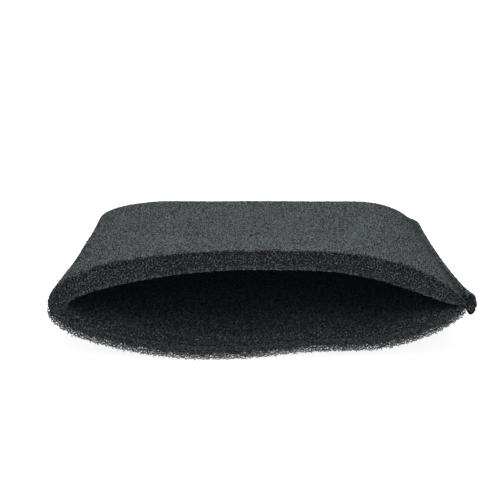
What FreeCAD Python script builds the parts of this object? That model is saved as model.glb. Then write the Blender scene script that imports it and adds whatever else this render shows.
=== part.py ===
import FreeCAD, Part
import math
import os

# Sponge filter sleeve: one blank of open-cell foam, folded along its left side, pinched and sewn
# with a lockstitch along its right side and its far end, and open at the near end.
# Frame: X across the mouth with the fold at -X, Y from the mouth to the closed end, +Z up.
# The origin is under the middle of the sleeve, on the surface that it lies on. Millimetres.

# Driving dimensions of the sleeve
SLEEVE_WIDTH = 202.0
SLEEVE_LENGTH = 200.0
SHEET_THICKNESS = 10.0
MOUTH_HEIGHT = 53.5
CLOSED_HEIGHT = 27.5
MOUTH_EDGE_HEIGHT = 25.0
CLOSED_EDGE_HEIGHT = 12.0
MOUTH_FLAT_HALF_WIDTH = 6.0
CLOSED_FLAT_HALF_WIDTH = 54.0
END_PINCH_LENGTH = 31.0
FOLD_CORNER_RADIUS = 10.5
# The underside is drawn this much too low and then trimmed, which leaves a flat where it lies
UNDERSIDE_TRIM = 0.6

# Driving dimensions of the seam: a thin web under the stitches and a bulging bead outside it
SEAM_INSET = 4.0
SEAM_CORNER_RADIUS = 18.0
WEB_WIDTH = 2.0
WEB_THICKNESS = 3.0
# The panels are a little thicker than the web where they run into it
PANEL_EDGE_THICKNESS = 3.8
BEAD_WIDTH = 3.4
BEAD_HEIGHT = 5.5
BEAD_MOUTH_HEIGHT = 11.5
THREAD_DIAMETER = 0.8
THREAD_SIDES = 8
THREAD_CLEARANCE = 0.05
THREAD_SETBACK = 2.0

# Shape of the cross-sections
FOLD_EXPONENT = 2.25
SEAM_SHARPNESS = 2.7
SEAM_FULLNESS = 0.73
END_SHARPNESS = 3.8
END_FULLNESS = 0.62
TAPER_POWER = 1.4
# The pocket closes on itself earlier than the outside does, which keeps the sheet full there
CAVITY_FOLD_EXPONENT = 1.6
CAVITY_SEAM_FULLNESS = 1.5
CAVITY_SLIT = 1.0
CAVITY_SEAM_SETBACK = 3.0
CURVE_STEPS = 9
TAPER_STATIONS = 6
PINCH_SHARES = (0.0, 0.25, 0.47, 0.62, 0.75, 0.86, 0.94, 0.985, 1.0)

HALF_WIDTH = SLEEVE_WIDTH / 2
MOUTH_Y = -SLEEVE_LENGTH / 2
SEAM_X = HALF_WIDTH - SEAM_INSET
SEAM_Y = SLEEVE_LENGTH / 2 - SEAM_INSET
CORNER_X = SEAM_X - SEAM_CORNER_RADIUS
CORNER_Y = SEAM_Y - SEAM_CORNER_RADIUS
PINCH_END_Y = SEAM_Y - WEB_WIDTH / 2
TAPER_END_Y = PINCH_END_Y - END_PINCH_LENGTH
UP = FreeCAD.Vector(0, 0, 1)


def between(mouth_value, closed_value, y):
    """A value that runs from the mouth to where the closed end starts to pinch, and then holds."""
    share = min((y - MOUTH_Y) / (TAPER_END_Y - MOUTH_Y), 1.0)
    return closed_value + (mouth_value - closed_value) * max(1.0 - share, 0.0) ** TAPER_POWER


def edge_height(y):
    """Height of the fold and of the seam, which lie at the mid-height of the section."""
    return between(MOUTH_EDGE_HEIGHT, CLOSED_EDGE_HEIGHT, y)


def pinch(y):
    """One along the sleeve, falling to zero where the two layers meet at the end seam."""
    share = max((y - TAPER_END_Y) / END_PINCH_LENGTH, 0.0)
    return max(1.0 - share**END_SHARPNESS, 0.0) ** END_FULLNESS


def corner_inset(y, radius):
    """How far a corner that is rounded in plan has moved in from the side at this station."""
    into_corner = max(y - (PINCH_END_Y - radius), 0.0)
    return radius - math.sqrt(max(radius**2 - into_corner**2, 0.0))


def smooth_edge(points):
    """A smooth curve; the same parameters at every station keep the loft between them smooth."""
    curve = Part.BSplineCurve()
    curve.interpolate(Points=points, Parameters=[float(count) for count in range(len(points))])
    return curve.toShape()


def panel_edges(y, side, fold_x, seam_x, flat, rise, edge_rise, exponents):
    """One panel's outline from the fold to the seam; side is +1 for the top, -1 for the bottom."""
    height = edge_height(y)
    fold_exponent, seam_fullness = exponents
    fold_points = []
    seam_points = []
    for step in range(CURVE_STEPS + 1):
        angle = math.pi / 2 * step / CURVE_STEPS
        across = math.cos(angle) ** (2 / fold_exponent)
        up = rise * math.sin(angle) ** (2 / fold_exponent)
        fold_points.append(FreeCAD.Vector(-flat + (fold_x + flat) * across, y, height + side * up))
        across = math.sin(angle) ** (2 / SEAM_SHARPNESS)
        up = edge_rise + (rise - edge_rise) * math.cos(angle) ** (2 * seam_fullness)
        seam_points.append(FreeCAD.Vector(flat + (seam_x - flat) * across, y, height + side * up))
    flat_edge = Part.makeLine(fold_points[-1], seam_points[0])
    return [smooth_edge(fold_points), flat_edge, smooth_edge(seam_points)]


def section(y, fold_x, seam_x, flat, top_rise, bottom_rise, edge_rise, exponents):
    """Closed outline at one station: top panel, seam edge and bottom panel."""
    top = panel_edges(y, 1, fold_x, seam_x, flat, top_rise, edge_rise, exponents)
    bottom = panel_edges(y, -1, fold_x, seam_x, flat, bottom_rise, edge_rise, exponents)
    seam_edge = Part.makeLine(top[-1].Vertexes[-1].Point, bottom[-1].Vertexes[-1].Point)
    return Part.Wire(top + [seam_edge] + bottom[::-1])


def outer_section(y):
    edge_rise = PANEL_EDGE_THICKNESS / 2
    height = edge_height(y)
    top_rise = between(MOUTH_HEIGHT, CLOSED_HEIGHT, y) - height
    return section(
        y,
        -HALF_WIDTH + corner_inset(y, FOLD_CORNER_RADIUS),
        SEAM_X - WEB_WIDTH / 2 - corner_inset(y, SEAM_CORNER_RADIUS - WEB_WIDTH / 2),
        between(MOUTH_FLAT_HALF_WIDTH, CLOSED_FLAT_HALF_WIDTH, y),
        edge_rise + (top_rise - edge_rise) * pinch(y),
        edge_rise + (height + UNDERSIDE_TRIM - edge_rise) * pinch(y),
        edge_rise,
        (FOLD_EXPONENT, SEAM_FULLNESS),
    )


def cavity_section(y):
    height = edge_height(y)
    return section(
        y,
        -HALF_WIDTH + SHEET_THICKNESS,
        SEAM_X - CAVITY_SEAM_SETBACK,
        between(MOUTH_FLAT_HALF_WIDTH, CLOSED_FLAT_HALF_WIDTH, y),
        between(MOUTH_HEIGHT, CLOSED_HEIGHT, y) - SHEET_THICKNESS - height,
        height - SHEET_THICKNESS,
        CAVITY_SLIT / 2,
        (CAVITY_FOLD_EXPONENT, CAVITY_SEAM_FULLNESS),
    )


def taper_stations(start_y):
    step = (TAPER_END_Y - start_y) / TAPER_STATIONS
    return [start_y + step * count for count in range(TAPER_STATIONS + 1)]


def along_seam(profile, start_y):
    """Carry a profile along the right side, round the far corner and along the far end."""
    stations = taper_stations(start_y) + [CORNER_Y]
    side = Part.makeLoft([profile(y) for y in stations], True)
    face = Part.Face(profile(CORNER_Y))
    corner_centre = FreeCAD.Vector(CORNER_X, CORNER_Y, 0)
    corner = face.revolve(corner_centre, UP, 90)
    face.rotate(corner_centre, UP, 90)
    end_length = CORNER_X + HALF_WIDTH - FOLD_CORNER_RADIUS
    end = face.extrude(FreeCAD.Vector(-end_length, 0, 0))
    return side.fuse([corner, end]).removeSplitter()


def web_profile(y):
    # The web runs a little into the panels on one side and into the bead on the other
    half_width = WEB_WIDTH / 2 + 0.5
    half_height = WEB_THICKNESS / 2
    height = edge_height(y)
    corners = [(-1, -1), (1, -1), (1, 1), (-1, 1), (-1, -1)]
    return Part.makePolygon(
        [FreeCAD.Vector(SEAM_X + half_width * i, y, height + half_height * j) for i, j in corners]
    )


def bead_profile(y):
    """An upright oval, higher than it is wide."""
    centre = FreeCAD.Vector(HALF_WIDTH - BEAD_WIDTH / 2, y, edge_height(y))
    top = centre + UP * (between(BEAD_MOUTH_HEIGHT, BEAD_HEIGHT, y) / 2)
    side = centre + FreeCAD.Vector(BEAD_WIDTH / 2, 0, 0)
    return Part.Wire(Part.Ellipse(top, side, centre).toShape())


def thread_profile(side):
    lift = side * (WEB_THICKNESS / 2 + THREAD_CLEARANCE + THREAD_DIAMETER / 2)

    def profile(y):
        centre = FreeCAD.Vector(SEAM_X, y, edge_height(y) + lift)
        angles = [2 * math.pi * count / THREAD_SIDES for count in range(THREAD_SIDES)]
        spokes = [FreeCAD.Vector(math.cos(angle), 0, math.sin(angle)) for angle in angles]
        corners = [centre + spoke * (THREAD_DIAMETER / 2) for spoke in spokes]
        return Part.makePolygon(corners + corners[:1])

    return profile


def foam_sleeve():
    stations = taper_stations(MOUTH_Y)
    pinch_stations = [TAPER_END_Y + END_PINCH_LENGTH * share for share in PINCH_SHARES]
    tapered = Part.makeLoft([outer_section(y) for y in stations], True)
    pinched = Part.makeLoft([outer_section(y) for y in pinch_stations], True)
    cavity = Part.makeLoft([cavity_section(y) for y in stations], True)
    foam = tapered.fuse(pinched).cut(cavity)
    foam = foam.fuse([along_seam(web_profile, MOUTH_Y), along_seam(bead_profile, MOUTH_Y)])
    ground = Part.makeBox(
        2 * SLEEVE_WIDTH, 2 * SLEEVE_LENGTH, SHEET_THICKNESS,
        FreeCAD.Vector(-SLEEVE_WIDTH, -SLEEVE_LENGTH, -SHEET_THICKNESS),
    )
    foam = foam.cut(ground)
    if foam.BoundBox.XMax < HALF_WIDTH - BEAD_WIDTH:
        raise ValueError("the web and the bead did not join the panels")
    return foam


def main():
    os.makedirs("parts", exist_ok=True)
    thread_start = MOUTH_Y + THREAD_SETBACK
    shapes = {
        "foam_sleeve": foam_sleeve(),
        "seam_needle_thread": along_seam(thread_profile(1), thread_start),
        "seam_bobbin_thread": along_seam(thread_profile(-1), thread_start),
    }
    for name, shape in shapes.items():
        solids = shape.Solids
        if len(solids) != 1 or not shape.isValid():
            raise ValueError(f"{name} is not one valid solid: {len(solids)} solids")
        shape = solids[0]
        box = shape.optimalBoundingBox(True, False)
        print(name, round(shape.Volume), "mm3", box)
        shape.exportStep(f"parts/{name}.step")


main()
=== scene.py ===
import bisect
import math
import random

import bmesh
import bpy
from bpy.props import FloatProperty, FloatVectorProperty, IntProperty, PointerProperty
from mathutils import Matrix, Vector, noise


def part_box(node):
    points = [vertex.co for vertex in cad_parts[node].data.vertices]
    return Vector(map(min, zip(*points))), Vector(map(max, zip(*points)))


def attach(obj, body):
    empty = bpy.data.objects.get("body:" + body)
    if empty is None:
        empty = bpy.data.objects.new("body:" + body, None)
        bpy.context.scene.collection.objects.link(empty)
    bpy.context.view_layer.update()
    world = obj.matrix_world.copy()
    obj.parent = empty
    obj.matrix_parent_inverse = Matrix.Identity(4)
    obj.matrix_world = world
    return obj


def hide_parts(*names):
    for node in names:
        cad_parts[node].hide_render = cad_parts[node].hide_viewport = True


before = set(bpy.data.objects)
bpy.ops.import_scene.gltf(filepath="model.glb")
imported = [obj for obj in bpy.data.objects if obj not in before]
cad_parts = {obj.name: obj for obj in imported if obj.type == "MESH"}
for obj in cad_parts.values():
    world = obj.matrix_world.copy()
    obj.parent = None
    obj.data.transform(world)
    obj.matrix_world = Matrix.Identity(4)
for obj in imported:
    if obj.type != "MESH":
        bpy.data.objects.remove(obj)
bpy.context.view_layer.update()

# Sponge filter: a flat sleeve of black open-cell foam, folded along its left side, pinched and
# sewn with a lockstitch along its right side and its far end, and open at the near end.
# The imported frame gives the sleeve's box; every length below is in metres.

bl_info = {
    "name": "Sponge Filter Sleeve",
    "version": (1, 0, 0),
    "blender": (4, 5, 0),
    "location": "3D View > Sidebar > Sponge Filter",
    "description": "Builds an open-cell foam filter sleeve with a sewn seam around the packed frame",
    "category": "Object",
}

SLEEVE_LOW, SLEEVE_HIGH = (Vector(corner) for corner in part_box("foam_sleeve"))
MOUTH_Y = SLEEVE_LOW.y
FAR_Y = SLEEVE_HIGH.y
BODY = "root"

# Cells round the bead, and how long its cells are against their width
BEAD_COLUMNS = 12
BEAD_ROW_SHARE = 0.75
# A cell's joints stray at random by up to this share of its size
JOINT_STRAY = 0.46
# The largest cells are no deeper than this against an even one; sink and floor vary at random
DEEPEST_CELL = 1.2
SINK_RANGE = (0.6, 1.2)
CELL_FLOOR_RANGE = (0.4, 0.65)
# The skin strays in waves about 40 mm long
SKIN_WAVES_PER_METRE = 25
# The foam is an open net from this far below the fold and the seam
OPEN_BELOW = 0.010
# The net starts this far across the cut face, and loses cells at random away from its edge
NET_START = 0.4
NET_LOSS_RANGE = (0.1, 0.5)
NET_ROUGHNESS = 3.4
# Three round plies touch when their middles are this share of a ply's diameter from the thread's
PLY_CIRCLE = 0.58
# A higher power makes the dip at a needle hole shorter
HOLE_POWER = 12
TABLE_SIZE = 8.0
TABLE_GAP = 0.0002


def length(label, description, default):
    """A length property in metres."""
    return FloatProperty(name=label, description=description, default=default, unit="LENGTH", precision=5)


def colour(label, description, code):
    """A colour property, from an sRGB hex code."""
    return FloatVectorProperty(
        name=label, description=description, default=linear(code), size=3, subtype="COLOR", min=0, max=1
    )


def linear(code):
    """The linear colour of an sRGB hex code."""
    shares = [int(code[start : start + 2], 16) / 255 for start in (1, 3, 5)]
    return tuple(s / 12.92 if s <= 0.04045 else ((s + 0.055) / 1.055) ** 2.4 for s in shares)


class SleeveSizes(bpy.types.PropertyGroup):
    """Shape of the folded sheet and of its seam."""

    sheet: length("Sheet", "Thickness of the foam sheet", 0.010)
    closed_height: length("Closed height", "Height of the sleeve where its end starts to pinch", 0.0280)
    mouth_edge: length("Mouth edge", "Height of the fold and seam above the table at the mouth", 0.025)
    closed_edge: length("Closed edge", "Height of the fold and seam above the table at the end", 0.012)
    pinch: length("Pinch", "Length over which the closed end flattens into its seam", 0.031)
    fold_corner: length("Fold corner", "Radius in plan of the far corner on the fold", 0.0105)
    seam_corner: length("Seam corner", "Radius in plan of the seam round the far corner", 0.018)
    seam_inset: length("Seam inset", "Distance of the stitches from the edge", 0.004)
    web: length("Web", "Thickness of the foam under the stitches", 0.003)
    web_width: length("Web width", "Width of the flat web that the stitches run along", 0.0018)
    lift: length("Lift", "How far the lower panel stands off the table at the mouth", 0.0026)
    lip_bulge: length("Lip bulge", "How far the lower lip stands out towards the fold", 0.0040)
    bead_width: length("Bead width", "Width of the bead outside the stitches", 0.0034)
    bead_height: length("Bead height", "Height of the bead along the sleeve", 0.0038)
    bead_mouth: length("Bead at mouth", "Height of the bead at the mouth, where its cut end swells", 0.0115)
    mouth_swell: length("Mouth swell", "How much wider the bead is at the mouth", 0.0018)
    mouth_lift: length("Mouth lift", "How far the bead's cut end is turned up", 0.0016)
    swell_reach: length("Swell reach", "How far the bead's swelling reaches from the mouth", 0.030)


class PoreSizes(bpy.types.PropertyGroup):
    """Size of the open cells."""

    spacing: length("Cell spacing", "Distance between the middles of neighbouring cells", 0.00125)
    depth: length("Depth", "Depth of a cell", 0.0009)
    relief: length("Relief", "How far the joints of the struts stand in or out", 0.00014)
    sag: length("Sag", "How far the soft skin strays from its smooth shape", 0.0004)
    strut: length("Strut", "Thickness of a strut of the open net at the lower lip", 0.00034)
    lip_band: length("Lip band", "Depth of the band behind the lower lip where whole cells show", 0.006)
    lip_spacing: length("Lip spacing", "Distance between cells of the net at the lower lip", 0.0010)
    lip_layer: length("Lip layer", "Thickness of the open net at the lower lip", 0.0036)
    rounding: length("Rounding", "How far the cut edges of the mouth are rounded back", 0.0009)
    seed: IntProperty(name="Seed", description="Seed of the cell pattern", default=11, min=0)


class StitchSizes(bpy.types.PropertyGroup):
    """Size of the lockstitch."""

    pitch: length("Stitch", "Length of one stitch", 0.004)
    ply: length("Ply", "Diameter of one of the thread's three plies", 0.00042)
    twist: length("Twist", "Length of thread in which its plies turn once round", 0.0024)
    bite: length("Bite", "How far the thread sinks into the foam at each needle hole", 0.0011)
    setback: length("Setback", "Distance of the first stitch from the mouth", 0.002)


class Finishes(bpy.types.PropertyGroup):
    """Colours of the foam, the thread and the table."""

    # Painted highlight: glint is the colour of light glancing off the palest struts
    painted_glint_colour: colour("Glint", "Colour of the palest struts", "#667073")
    strut_colour: colour("Strut", "Colour of the struts at the surface", "#161A1D")
    # Painted shade: the darkness deep in the open cells
    painted_pore_shade_colour: colour("Pore", "Colour deep in the cells", "#040506")
    thread_colour: colour("Thread", "Colour of the sewing thread", "#17191A")
    ply_shadow_colour: colour("Ply shadow", "Colour between the thread's fibres", "#0A0B0B")
    floor_colour: colour("Floor", "Colour of the table", "#ACACAA")


class StageSizes(bpy.types.PropertyGroup):
    """Place of the camera, and the even light."""

    distance: length("Distance", "Distance of the camera in front of the mouth", 0.483)
    height: length("Height", "Height of the camera above the table", 0.2095)
    sideways: length("Sideways", "Place of the camera across the sleeve", -0.0056)
    pitch: FloatProperty(
        name="Pitch",
        description="How far the camera looks down",
        default=math.radians(17.9),
        subtype="ANGLE",
    )
    lens: FloatProperty(name="Lens", description="Focal length", default=79.2, unit="CAMERA")
    table_glow: FloatProperty(
        name="Table glow", description="Light from the lit table", default=0.88, min=0
    )
    room_light: FloatProperty(
        name="Room light", description="Even light from all round", default=0.38, min=0
    )


class Ring:
    """A closed outline that gives the point at any share of its length."""

    def __init__(self, points):
        self.points = points + [points[0]]
        self.reach = [0.0]
        for start, end in zip(self.points, self.points[1:]):
            self.reach.append(self.reach[-1] + (end - start).length)

    def nearest(self, place):
        """The outline's own point that is nearest to a place."""
        return min(self.points, key=lambda point: (point - place).length_squared)

    def at(self, share):
        """The point at a share of the outline's length."""
        target = (share % 1.0) * self.reach[-1]
        index = min(bisect.bisect_right(self.reach, target), len(self.reach) - 1)
        start, end = self.reach[index - 1], self.reach[index]
        return self.points[index - 1].lerp(self.points[index], (target - start) / (end - start))


class Point:
    """An outline shrunk to a point."""

    def __init__(self, place):
        self.place = place

    def at(self, share):
        return self.place


class Blend:
    """An outline part of the way from one ring to another."""

    def __init__(self, first, last, share):
        self.first, self.last, self.share = first, last, share

    def at(self, share):
        return self.first.at(share).lerp(self.last.at(share), self.share)


class SleeveShape:
    """The smooth skin of the folded sheet, which the cells are then opened in."""

    # Powers that set how full the sections are, towards the fold, the seam and the closed end
    FOLD_EXPONENT = 2.25
    SEAM_SHARPNESS = 2.7
    SEAM_FULLNESS = 0.73
    END_SHARPNESS = 3.8
    END_FULLNESS = 0.62
    TAPER_POWER = 1.4
    # Half the width of the flat middle of a section, at the mouth and at the closed end
    MOUTH_FLAT = 0.006
    CLOSED_FLAT = 0.052
    # Where the lower panel stands off the table
    LIFT_MIDDLE = 0.026
    LIFT_WIDTH = 0.024
    LIFT_LENGTH = 0.060
    # The lower lip stands out a little towards the fold
    LIP_MIDDLE = -0.035
    LIP_WIDTH = 0.040
    LIP_LENGTH = 0.025
    # The pocket stops this far short of the stitches
    CAVITY_SETBACK = 0.003
    # The sheet is squeezed a little thinner where it folds, and the pocket ends in a crease there
    CREASE_THICKNESS = 0.0083
    CREASE_EXPONENT = 1.6
    # The two layers close on each other well before the seam
    POCKET_FULLNESS = 1.5
    OUTLINE_STEPS = 90
    # The web thins to nothing over this last stretch, and slopes are measured over the same length
    FINE_STEP = 0.0005
    # Rows of cells in the dark of the pocket grow longer by this factor, up to so many times
    ROW_GROWTH = 1.015
    LONGEST_ROW = 1.8

    def __init__(self, sizes):
        self.sizes = sizes
        self.fold_x = SLEEVE_LOW.x
        self.seam_x = SLEEVE_HIGH.x - sizes.seam_inset
        self.end_y = FAR_Y - sizes.seam_inset
        self.half_web = sizes.web_width / 2
        self.panel_end = self.end_y - self.half_web
        self.taper_end = self.panel_end - sizes.pinch
        self.mouth_height = SLEEVE_HIGH.z
        self.corner = Vector((self.seam_x - sizes.seam_corner, self.end_y - sizes.seam_corner))

    def between(self, mouth_value, closed_value, y):
        """A value that runs from the mouth to where the closed end starts to pinch."""
        share = min(max((y - MOUTH_Y) / (self.taper_end - MOUTH_Y), 0.0), 1.0)
        return closed_value + (mouth_value - closed_value) * (1.0 - share) ** self.TAPER_POWER

    def edge_height(self, y):
        """Height of the fold and of the seam above the table."""
        return self.between(self.sizes.mouth_edge, self.sizes.closed_edge, y)

    def pinch(self, y):
        """One along the sleeve, falling to zero at the end seam."""
        share = min(max((y - self.taper_end) / self.sizes.pinch, 0.0), 1.0)
        return (1.0 - share**self.END_SHARPNESS) ** self.END_FULLNESS

    def seam_side(self, y, offset):
        """The x of a line beside the stitches, which turns with them round the far corner."""
        radius = self.sizes.seam_corner + offset
        into_corner = min(max(y - self.corner.y, 0.0), radius)
        return self.corner.x + math.sqrt(radius**2 - into_corner**2)

    def fold_side(self, y):
        """The x of the folded side, which turns in at its rounded far corner."""
        radius = self.sizes.fold_corner
        into_corner = min(max(y - (self.end_y + self.half_web - radius), 0.0), radius)
        return self.fold_x + radius - math.sqrt(radius**2 - into_corner**2)

    def crown(self, x, flat, fold_x, panel_x, fold_exponent, seam_fullness):
        """Height of a section at x as a share of its full rise."""
        if x < -flat:
            share = min((-x - flat) / (-fold_x - flat), 1.0)
            return (1.0 - share**fold_exponent) ** (1.0 / fold_exponent)
        if x > flat:
            share = min((x - flat) / (panel_x - flat), 1.0)
            return (1.0 - share**self.SEAM_SHARPNESS) ** seam_fullness
        return 1.0

    def ring(self, y, fold_x, panel_x, edge_x, rises, edge_rise, exponents):
        """Outline at one station, from the seam over the top to the fold and back underneath."""
        flat = self.between(self.MOUTH_FLAT, self.CLOSED_FLAT, y)
        height = self.edge_height(y)
        lift = self.sizes.lift * math.exp(-(((y - MOUTH_Y) / self.LIFT_LENGTH) ** 2))
        stand_out = self.sizes.lip_bulge * math.exp(-(((y - MOUTH_Y) / self.LIP_LENGTH) ** 2))
        points = []
        for side, rise in zip((1, -1), rises):
            row = []
            for step in range(self.OUTLINE_STEPS + 1):
                share = (1 - math.cos(math.pi * step / self.OUTLINE_STEPS)) / 2
                x = edge_x + (fold_x - edge_x) * share
                lean = edge_rise if x > 0 else 0.0
                crown = self.crown(x, flat, fold_x, panel_x, *exponents)
                up = lean + (rise - lean) * crown
                out = 0.0
                if side < 0:
                    up -= lift * math.exp(-(((x - self.LIFT_MIDDLE) / self.LIFT_WIDTH) ** 2))
                    out = stand_out * crown * math.exp(-(((x - self.LIP_MIDDLE) / self.LIP_WIDTH) ** 2))
                row.append(Vector((x, y - out, height + side * up)))
            points += row if side > 0 else row[-2:0:-1] + [row[0]]
        return Ring(points)

    def outer(self, y):
        """Outline of the outside at one station."""
        sizes = self.sizes
        end = self.end_y + self.half_web
        web = sizes.web / 2 * min(1.0, max(0.0, (end - y) / self.FINE_STEP))
        pinch = self.pinch(y)
        height = self.edge_height(y)
        top_rise = self.between(self.mouth_height, sizes.closed_height, y) - height
        return self.ring(
            y,
            self.fold_side(y),
            self.seam_side(y, -self.half_web),
            self.seam_side(y, self.half_web),
            (web + (top_rise - web) * pinch, web + (height - web) * pinch),
            web,
            (self.FOLD_EXPONENT, self.SEAM_FULLNESS),
        )

    def cavity(self, y, openness=1.0):
        """Outline of the pocket at one station; at no openness its two layers meet."""
        height = self.edge_height(y)
        top = self.between(self.mouth_height, self.sizes.closed_height, y) - self.sizes.sheet - height
        return self.ring(
            y,
            self.fold_x + self.CREASE_THICKNESS,
            self.seam_x - self.CAVITY_SETBACK,
            self.seam_x - self.CAVITY_SETBACK,
            (top * openness, (height - self.sizes.sheet) * openness),
            0.0,
            (self.CREASE_EXPONENT, self.POCKET_FULLNESS),
        )

    def rings(self, spacing):
        """Rows of cells from the bottom of the pocket to the mouth and back along the outside."""
        row_step = spacing * math.sqrt(3) / 2
        deep = self.taper_end
        stations = [MOUTH_Y]
        step = row_step
        while stations[-1] + step < deep:
            stations.append(stations[-1] + step)
            step = min(step * self.ROW_GROWTH, row_step * self.LONGEST_ROW)
        rows = [self.cavity(deep, 0.0), self.cavity(deep)]
        rows += [self.cavity(y) for y in reversed(stations)]
        wall_rows = round(self.sizes.sheet / row_step)
        inner, outer = self.cavity(MOUTH_Y), self.outer(MOUTH_Y)
        rows += [Blend(inner, outer, count / wall_rows) for count in range(1, wall_rows)]
        profile = [outer]
        y = MOUTH_Y
        end = self.end_y + self.half_web
        while y < end:
            drop = (self.pinch(y) - self.pinch(y + self.FINE_STEP)) * self.sizes.closed_height / 2
            fall = drop / self.FINE_STEP
            y = min(y + row_step / math.hypot(1.0, fall), end)
            profile.append(self.outer(y))
        return rows + profile

    def lip_rings(self, spacing, depth, inset):
        """Rows of cells from the middle of the cut face out to its edge and along the outside."""
        row_step = spacing * math.sqrt(3) / 2
        stop = 1 - inset / self.sizes.sheet
        wall_rows = round((stop - NET_START) * self.sizes.sheet / row_step)
        face_y = MOUTH_Y + inset
        inner, outer = self.cavity(face_y), self.outer(face_y)
        shares = [NET_START + (stop - NET_START) * count / wall_rows for count in range(wall_rows)]
        rows = [Blend(inner, outer, share) for share in shares]
        stations = [face_y + row_step * count for count in range(round(depth / row_step) + 1)]
        return rows + [Blend(self.cavity(y), self.outer(y), stop) for y in stations]

    def seam_route(self, offset, step):
        """Points and outward directions along the side seam, round the corner and along the end."""
        radius = self.sizes.seam_corner + offset
        centre = self.corner
        side = centre.y - MOUTH_Y
        corner = radius * math.pi / 2
        end = centre.x - (self.fold_x + self.sizes.fold_corner)
        count = round((side + corner + end) / step)
        route = []
        for index in range(count + 1):
            along = (side + corner + end) * index / count
            if along < side:
                place, outward = Vector((self.seam_x + offset, MOUTH_Y + along)), Vector((1, 0))
            elif along < side + corner:
                angle = (along - side) / radius
                outward = Vector((math.cos(angle), math.sin(angle)))
                place = centre + outward * radius
            else:
                place = Vector((centre.x - (along - side - corner), self.end_y + offset))
                outward = Vector((0, 1))
            route.append((Vector((place.x, place.y, self.edge_height(place.y))), outward.to_3d(), along))
        return route


def add_node(tree, kind, settings=None, links=None):
    """Adds a node with its settings; links maps its input sockets to other nodes' output sockets."""
    node = tree.nodes.new(kind)
    for name, value in (settings or {}).items():
        if isinstance(name, int) or name in node.inputs:
            node.inputs[name].default_value = value
        else:
            setattr(node, name, value)
    for name, socket in (links or {}).items():
        tree.links.new(socket, node.inputs[name])
    return node


def dual_cells(mesh):
    """Turns a triangle mesh into the cells round its corners."""
    tree = bpy.data.node_groups.new("cells", "GeometryNodeTree")
    for way in ("INPUT", "OUTPUT"):
        tree.interface.new_socket("Geometry", in_out=way, socket_type="NodeSocketGeometry")
    source = add_node(tree, "NodeGroupInput")
    dual = add_node(tree, "GeometryNodeDualMesh", links={"Mesh": source.outputs[0]})
    add_node(tree, "NodeGroupOutput", links={"Geometry": dual.outputs[0]})
    holder = bpy.data.objects.new("cells", mesh)
    bpy.context.scene.collection.objects.link(holder)
    holder.modifiers.new("cells", "NODES").node_group = tree
    evaluated = holder.evaluated_get(bpy.context.evaluated_depsgraph_get())
    cells = bpy.data.meshes.new_from_object(evaluated)
    bpy.data.objects.remove(holder)
    bpy.data.meshes.remove(mesh)
    bpy.data.node_groups.remove(tree)
    return cells


def tube_of_cells(rings, columns, chance):
    """A closed tube of irregular cells: a grid laid along the rings, disturbed and turned to cells."""
    rows = len(rings) - 1
    bm = bmesh.new()
    bmesh.ops.create_grid(bm, x_segments=columns, y_segments=rows, size=0.5)
    for vert in bm.verts:
        column = round((vert.co.x + 0.5) * columns) % columns
        row = round((vert.co.y + 0.5) * rows)
        vert.co = Vector((column, row, 0))
    places = {}
    for row in range(rows + 1):
        for column in range(columns):
            across = column + (0.5 if row % 2 and row not in (0, rows) else 0.0)
            along = row
            if row not in (0, rows):
                across += chance.uniform(-JOINT_STRAY, JOINT_STRAY)
                along += chance.uniform(-JOINT_STRAY, JOINT_STRAY)
            low = min(int(along), rows - 1)
            share = across / columns
            places[column, row] = rings[low].at(share).lerp(rings[low + 1].at(share), along - low)
    for vert in bm.verts:
        vert.co = places[round(vert.co.x), round(vert.co.y)]
    bmesh.ops.remove_doubles(bm, verts=bm.verts, dist=1e-6)
    bmesh.ops.triangulate(bm, faces=bm.faces, quad_method="SHORT_EDGE")
    bmesh.ops.beautify_fill(bm, faces=bm.faces, edges=bm.edges, method="ANGLE")
    bmesh.ops.reverse_faces(bm, faces=bm.faces)
    mesh = bpy.data.meshes.new("cells")
    bm.to_mesh(mesh)
    bm.free()
    return dual_cells(mesh)


def roughen(bm, amount, chance):
    """Moves the joints of the struts in and out a little."""
    bm.normal_update()
    for vert in bm.verts:
        vert.co += vert.normal * chance.gauss(0, amount)


def soften(bm, amount):
    """Lets the skin stray slowly from its smooth shape, as soft foam does, but not where it lies."""
    lying = SLEEVE_LOW.z + 4 * amount
    bm.normal_update()
    for vert in bm.verts:
        if vert.co.z > lying:
            vert.co += vert.normal * amount * noise.noise(vert.co * SKIN_WAVES_PER_METRE)


def open_pores(bm, sizes, chance):
    """Sinks each cell into a bowl, so that the struts stand up between the cells."""
    # pore_depth marks the cell floors, where the foam's colour gets painted shade
    depth_layer = bm.verts.layers.float.new("pore_depth")
    roughen(bm, sizes.relief, chance)
    cells = list(bm.faces)
    bmesh.ops.inset_individual(bm, faces=cells, thickness=0.0)
    for cell in cells:
        centre = cell.calc_center_median()
        fullness = min(math.sqrt(cell.calc_area()) / sizes.spacing, DEEPEST_CELL)
        sink = cell.normal * sizes.depth * fullness * chance.uniform(*SINK_RANGE)
        width = chance.uniform(*CELL_FLOOR_RANGE)
        for vert in cell.verts:
            vert.co = centre.lerp(vert.co, width) - sink
            vert[depth_layer] = 1.0


def openness(shape, place):
    """How open the foam is at a place: one along the lower lip of the mouth, none above its middle."""
    below = (shape.edge_height(place.y) - place.z) / OPEN_BELOW
    return min(max(below, 0.0), 1.0)


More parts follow.
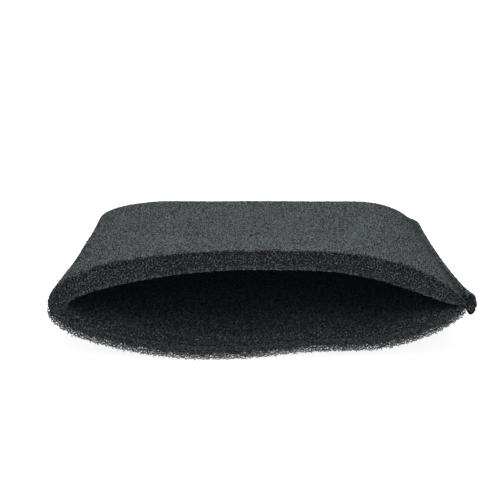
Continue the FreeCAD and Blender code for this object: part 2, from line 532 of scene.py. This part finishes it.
def thin_lip(bm, shape, sizes):
    """Rounds the cut edges of the mouth, and draws the foam back behind the net at the lower lip."""
    bm.normal_update()
    outer_edge, inner_edge = shape.outer(MOUTH_Y), shape.cavity(MOUTH_Y)
    rounded, netted = 2 * sizes.rounding, 2 * sizes.lip_layer
    for vert in bm.verts:
        if vert.co.y - MOUTH_Y < 2 * sizes.lip_band:
            open_share = openness(shape, vert.co)
            to_inner = (vert.co - inner_edge.nearest(vert.co)).length
            to_outer = (vert.co - outer_edge.nearest(vert.co)).length
            draw = sizes.rounding * (1 + open_share) * math.exp(-((to_inner / rounded) ** 2))
            draw += sizes.rounding * (1 - open_share) * math.exp(-((to_outer / rounded) ** 2))
            draw += sizes.lip_layer * open_share * math.exp(-((to_outer / netted) ** 2))
            vert.co -= vert.normal * draw


def lip_struts(shape, sizes, inset, chance):
    """Whole open cells along the lower lip: a net of struts over the cut face and both its edges."""
    rings = shape.lip_rings(sizes.lip_spacing, sizes.lip_band, inset)
    columns = round(shape.outer(MOUTH_Y).reach[-1] / sizes.lip_spacing)
    mesh = tube_of_cells(rings, columns, chance)
    bm = bmesh.new()
    bm.from_mesh(mesh)
    bpy.data.meshes.remove(mesh)
    edge = shape.outer(MOUTH_Y)
    closed = []
    for face in bm.faces:
        place = face.calc_center_median()
        past_layer = max((edge.nearest(place) - place).length - sizes.lip_layer, 0.0)
        thinning = math.exp(-past_layer / sizes.lip_layer)
        if openness(shape, place) * thinning < chance.uniform(*NET_LOSS_RANGE):
            closed.append(face)
    bmesh.ops.delete(bm, geom=closed, context="FACES")
    roughen(bm, NET_ROUGHNESS * sizes.relief, chance)
    bmesh.ops.wireframe(bm, faces=bm.faces, thickness=sizes.strut, use_replace=True, use_boundary=True)
    bmesh.ops.recalc_face_normals(bm, faces=bm.faces)
    net = bpy.data.meshes.new("net")
    bm.to_mesh(net)
    bm.free()
    return net


class SPONGEFILTER_OT_foam_sleeve(bpy.types.Operator):
    """Builds the folded foam sleeve with its pinched seam and opens its cells"""

    bl_idname = "spongefilter.foam_sleeve"
    bl_label = "Foam sleeve"
    bl_options = {"REGISTER", "UNDO"}

    def execute(self, context):
        scene = context.scene
        pores = scene.sponge_pores
        shape = SleeveShape(scene.sponge_sleeve)
        chance = random.Random(pores.seed)
        columns = round(shape.outer(MOUTH_Y).reach[-1] / pores.spacing)
        sheet = tube_of_cells(shape.rings(pores.spacing), columns, chance)
        bead = tube_of_cells(bead_rings(shape, pores.spacing), BEAD_COLUMNS, chance)
        insets = (0.0, pores.lip_layer / 3, pores.lip_layer * 2 / 3)
        nets = [lip_struts(shape, pores, inset, chance) for inset in insets]
        bm = bmesh.new()
        bm.from_mesh(sheet)
        soften(bm, pores.sag)
        thin_lip(bm, shape, pores)
        bm.from_mesh(bead)
        open_pores(bm, pores, chance)
        for net in nets:
            bm.from_mesh(net)
        for mesh in (sheet, bead, *nets):
            bpy.data.meshes.remove(mesh)
        sleeve = finished_piece("foam_sleeve_open_cell", bm, foam_material(scene.sponge_finishes))
        sleeve.data.shade_smooth()
        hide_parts("foam_sleeve")
        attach(sleeve, BODY)
        return {"FINISHED"}


class SPONGEFILTER_OT_stitches(bpy.types.Operator):
    """Runs the needle thread and the bobbin thread along the seam in a lockstitch"""

    bl_idname = "spongefilter.stitches"
    bl_label = "Stitches"
    bl_options = {"REGISTER", "UNDO"}

    def execute(self, context):
        scene = context.scene
        shape = SleeveShape(scene.sponge_sleeve)
        material = thread_material(scene.sponge_finishes)
        for name, side in (("seam_needle_thread", 1), ("seam_bobbin_thread", -1)):
            thread = sewn_thread(name + "_stitched", shape, scene.sponge_stitch, side, material)
            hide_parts(name)
            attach(thread, BODY)
        return {"FINISHED"}


def sewn_thread(name, shape, sizes, side, material):
    """One thread of three twisted plies, which dips into the foam at each needle hole."""
    steps_per_turn = 6
    step = sizes.twist / steps_per_turn
    radius = sizes.ply * PLY_CIRCLE
    lift = shape.sizes.web / 2 + sizes.ply / 2
    curve = bpy.data.curves.new(name, "CURVE")
    curve.dimensions = "3D"
    curve.bevel_depth = sizes.ply / 2
    curve.bevel_resolution = 1
    curve.use_fill_caps = True
    route = [stop for stop in shape.seam_route(0.0, step) if stop[2] >= sizes.setback]
    for ply in range(3):
        spline = curve.splines.new("POLY")
        spline.points.add(len(route) - 1)
        for point, (place, outward, along) in zip(spline.points, route):
            angle = 2 * math.pi * (along / sizes.twist + ply / 3)
            hole = abs(math.cos(math.pi * along / sizes.pitch)) ** HOLE_POWER
            up = side * (lift - sizes.bite * hole) + radius * math.sin(angle)
            spot = place + outward * radius * math.cos(angle) + Vector((0, 0, up))
            point.co = (*spot, 1.0)
    holder = bpy.data.objects.new(name, curve)
    mesh = bpy.data.meshes.new_from_object(holder)
    bpy.data.objects.remove(holder)
    bpy.data.curves.remove(curve)
    mesh.materials.clear()
    mesh.name = name
    bm = bmesh.new()
    bm.from_mesh(mesh)
    bpy.data.meshes.remove(mesh)
    bmesh.ops.recalc_face_normals(bm, faces=bm.faces)
    thread = finished_piece(name, bm, material)
    thread.data.shade_smooth()
    return thread


def bead_rings(shape, spacing):
    """Outlines of the bead outside the stitches, with its two ends closed."""
    sizes = shape.sizes
    offset = sizes.seam_inset - sizes.bead_width / 2
    route = shape.seam_route(offset, spacing * BEAD_ROW_SHARE)
    rings = []
    for place, outward, along in route:
        swell = math.exp(-along / sizes.swell_reach)
        width = sizes.bead_width + sizes.mouth_swell * swell
        place -= outward * sizes.mouth_swell / 2 * swell
        place.z += sizes.mouth_lift * swell
        height = sizes.bead_height + (sizes.bead_mouth - sizes.bead_height) * swell
        rings.append(oval(place, outward * width / 2, Vector((0, 0, height / 2))))
    caps = (0.0, 0.35, 0.7)
    near = [Blend(Point(route[0][0]), rings[0], share) for share in caps]
    far = [Blend(Point(route[-1][0]), rings[-1], share) for share in reversed(caps)]
    return near + rings + far


def oval(centre, across, up):
    """An upright oval outline."""
    steps = 24
    angles = [2 * math.pi * step / steps for step in range(steps)]
    return Ring([centre + across * math.cos(angle) + up * math.sin(angle) for angle in angles])


def finished_piece(name, bm, material):
    """Writes the mesh to an object at the origin with its material."""
    mesh = bpy.data.meshes.new(name)
    bm.to_mesh(mesh)
    bm.free()
    mesh.materials.append(material)
    piece = bpy.data.objects.new(name, mesh)
    bpy.context.scene.collection.objects.link(piece)
    return piece


def foam_material(finishes):
    """Black reticulated polyurethane foam, knife-cut from a block: satin struts over cells darkened by
    painted shade, with painted highlights on the palest struts.
    """
    material = bpy.data.materials.new("reticulated_polyurethane_foam")
    material.use_nodes = True
    tree = material.node_tree
    shader = tree.nodes["Principled BSDF"]
    shader.inputs["IOR"].default_value = 1.5
    shader.inputs["Specular IOR Level"].default_value = 0.3
    # Painted light: the foam glows faintly blue, standing in for the little light that comes through the
    # open cells, so the pocket is never quite black
    shader.inputs["Emission Color"].default_value = (0.62, 0.72, 1.0, 1)
    shader.inputs["Emission Strength"].default_value = 0.003
    where = add_node(tree, "ShaderNodeTexCoord").outputs["Object"]
    depth = add_node(tree, "ShaderNodeAttribute", {"attribute_name": "pore_depth"}).outputs["Fac"]
    # Struts and the cut ends between them change in tone about every 0.7 mm, which is 1400 times in
    # a metre, and faintly in patches of 30 mm, which is 33 times in a metre; the palest spots of the fine
    # grain are painted highlights, glints on the struts
    noise_kind, sum_kind = "ShaderNodeTexNoise", "ShaderNodeMath"
    grain = add_node(tree, noise_kind, {"Scale": 1400.0, "Detail": 1.0}, {"Vector": where}).outputs["Fac"]
    patch = add_node(tree, noise_kind, {"Scale": 33.0, "Detail": 2.0}, {"Vector": where}).outputs["Fac"]
    # Painted shade: the bottoms of the cells are darkened below the struts, where shade falls deep in the
    # open cells
    paint_pore_shade = {"operation": "MULTIPLY_ADD", 1: -0.22}
    grain_and_pore_shade = add_node(tree, sum_kind, paint_pore_shade, {0: depth, 2: grain}).outputs[0]
    vary = {"operation": "MULTIPLY_ADD", 1: 0.06}
    tone_shade_and_glint = add_node(tree, sum_kind, vary, {0: patch, 2: grain_and_pore_shade}).outputs[0]
    # The ramp runs from painted shade deep in the cells, through the struts' own colour, to painted
    # highlights on the palest struts
    stops = ((0.43, finishes.painted_pore_shade_colour), (0.50, finishes.strut_colour), (0.56, finishes.painted_glint_colour))
    shades = add_node(tree, "ShaderNodeValToRGB", links={"Fac": tone_shade_and_glint})
    shades.color_ramp.elements.new(0.5)
    for element, (position, shade) in zip(shades.color_ramp.elements, stops):
        element.position = position
        element.color = (*shade, 1)
    tree.links.new(shades.outputs["Color"], shader.inputs["Base Color"])
    gloss = add_node(tree, "ShaderNodeMapRange", {"To Min": 0.7, "To Max": 0.4}, {"Value": grain})
    tree.links.new(gloss.outputs[0], shader.inputs["Roughness"])
    bump = add_node(tree, "ShaderNodeBump", {"Strength": 0.9, "Distance": 0.0003}, {"Height": grain})
    tree.links.new(bump.outputs[0], shader.inputs["Normal"])
    return material


def thread_material(finishes):
    """Bonded black polyester sewing thread: fine filaments twisted in each ply, with a low sheen."""
    material = bpy.data.materials.new("bonded_polyester_thread")
    material.use_nodes = True
    tree = material.node_tree
    shader = tree.nodes["Principled BSDF"]
    shader.inputs["Roughness"].default_value = 0.5
    shader.inputs["Sheen Weight"].default_value = 0.2
    where = add_node(tree, "ShaderNodeTexCoord").outputs["Object"]
    # Filaments are 0.02 mm thick; they are drawn about 0.12 mm apart, 8000 in a metre, so that they show
    pattern = {"Scale": 8000.0, "Detail": 1.0}
    fibre = add_node(tree, "ShaderNodeTexNoise", pattern, {"Vector": where}).outputs["Fac"]
    stops = ((0.40, finishes.ply_shadow_colour), (0.60, finishes.thread_colour))
    shades = add_node(tree, "ShaderNodeValToRGB", links={"Fac": fibre})
    for element, (position, shade) in zip(shades.color_ramp.elements, stops):
        element.position = position
        element.color = (*shade, 1)
    tree.links.new(shades.outputs["Color"], shader.inputs["Base Color"])
    bump = add_node(tree, "ShaderNodeBump", {"Strength": 0.4, "Distance": 0.00005}, {"Height": fibre})
    tree.links.new(bump.outputs[0], shader.inputs["Normal"])
    return material


class SPONGEFILTER_OT_stage(bpy.types.Operator):
    """Sets the table, the soft lights and the camera"""

    bl_idname = "spongefilter.stage"
    bl_label = "Stage"
    bl_options = {"REGISTER", "UNDO"}

    def execute(self, context):
        scene = context.scene
        stage = scene.sponge_stage
        bm = bmesh.new()
        bmesh.ops.create_grid(bm, x_segments=1, y_segments=1, size=TABLE_SIZE)
        floor = finished_piece("table", bm, floor_material(scene.sponge_finishes, stage.table_glow))
        floor.data.transform(Matrix.Translation((0, 0, SLEEVE_LOW.z - TABLE_GAP)))
        world = bpy.data.worlds.new("studio")
        world.use_nodes = True
        background = world.node_tree.nodes["Background"]
        background.inputs["Color"].default_value = (1, 1, 1, 1)
        background.inputs["Strength"].default_value = stage.room_light
        scene.world = world
        softbox("overhead_softbox", place=(0.05, 0.10, 1.1), size=0.6, power=7.9)
        softbox("front_softbox", place=(0.0, -1.0, 0.9), size=0.9, power=2.6)
        camera = bpy.data.objects.new("camera", bpy.data.cameras.new("camera"))
        camera.data.lens = stage.lens
        camera.data.sensor_width = 36.0
        camera.location = (stage.sideways, MOUTH_Y - stage.distance, stage.height)
        camera.rotation_euler = (math.pi / 2 - stage.pitch, 0, 0)
        scene.collection.objects.link(camera)
        scene.camera = camera
        scene.view_settings.view_transform = "Standard"
        return {"FINISHED"}


def softbox(name, place, size, power):
    """A square soft light that faces the sleeve's origin."""
    light = bpy.data.lights.new(name, "AREA")
    light.shape = "SQUARE"
    light.size = size
    light.energy = power
    holder = bpy.data.objects.new(name, light)
    holder.location = place
    holder.rotation_euler = Vector(place).to_track_quat("Z", "Y").to_euler()
    bpy.context.scene.collection.objects.link(holder)


def floor_material(finishes, glow):
    """Opal white acrylic over a light table: even, pale and almost without shadows."""
    material = bpy.data.materials.new("opal_acrylic_light_table")
    material.use_nodes = True
    shader = material.node_tree.nodes["Principled BSDF"]
    shader.inputs["Base Color"].default_value = (*finishes.floor_colour, 1)
    shader.inputs["Roughness"].default_value = 0.9
    shader.inputs["Emission Color"].default_value = (1, 1, 1, 1)
    shader.inputs["Emission Strength"].default_value = glow
    return material


class SPONGEFILTER_PT_parts(bpy.types.Panel):
    """Lists the sleeve's pieces and their sizes"""

    bl_label = "Sponge Filter"
    bl_space_type = "VIEW_3D"
    bl_region_type = "UI"
    bl_category = "Sponge Filter"

    def draw(self, context):
        for operator in OPERATORS:
            self.layout.operator(operator.bl_idname)
        for name, group in GROUPS.items():
            box = self.layout.box()
            box.label(text=group.bl_rna.description)
            for prop in group.__annotations__:
                box.prop(getattr(context.scene, name), prop)


GROUPS = {
    "sponge_sleeve": SleeveSizes,
    "sponge_pores": PoreSizes,
    "sponge_stitch": StitchSizes,
    "sponge_finishes": Finishes,
    "sponge_stage": StageSizes,
}
OPERATORS = (SPONGEFILTER_OT_foam_sleeve, SPONGEFILTER_OT_stitches, SPONGEFILTER_OT_stage)
CLASSES = (*GROUPS.values(), *OPERATORS, SPONGEFILTER_PT_parts)


def register():
    for cls in CLASSES:
        bpy.utils.register_class(cls)
    for name, group in GROUPS.items():
        setattr(bpy.types.Scene, name, PointerProperty(type=group))


def unregister():
    for name in GROUPS:
        delattr(bpy.types.Scene, name)
    for cls in reversed(CLASSES):
        bpy.utils.unregister_class(cls)


def main():
    register()
    bpy.ops.spongefilter.foam_sleeve()
    bpy.ops.spongefilter.stitches()
    bpy.ops.spongefilter.stage()


if __name__ == "__main__":
    main()
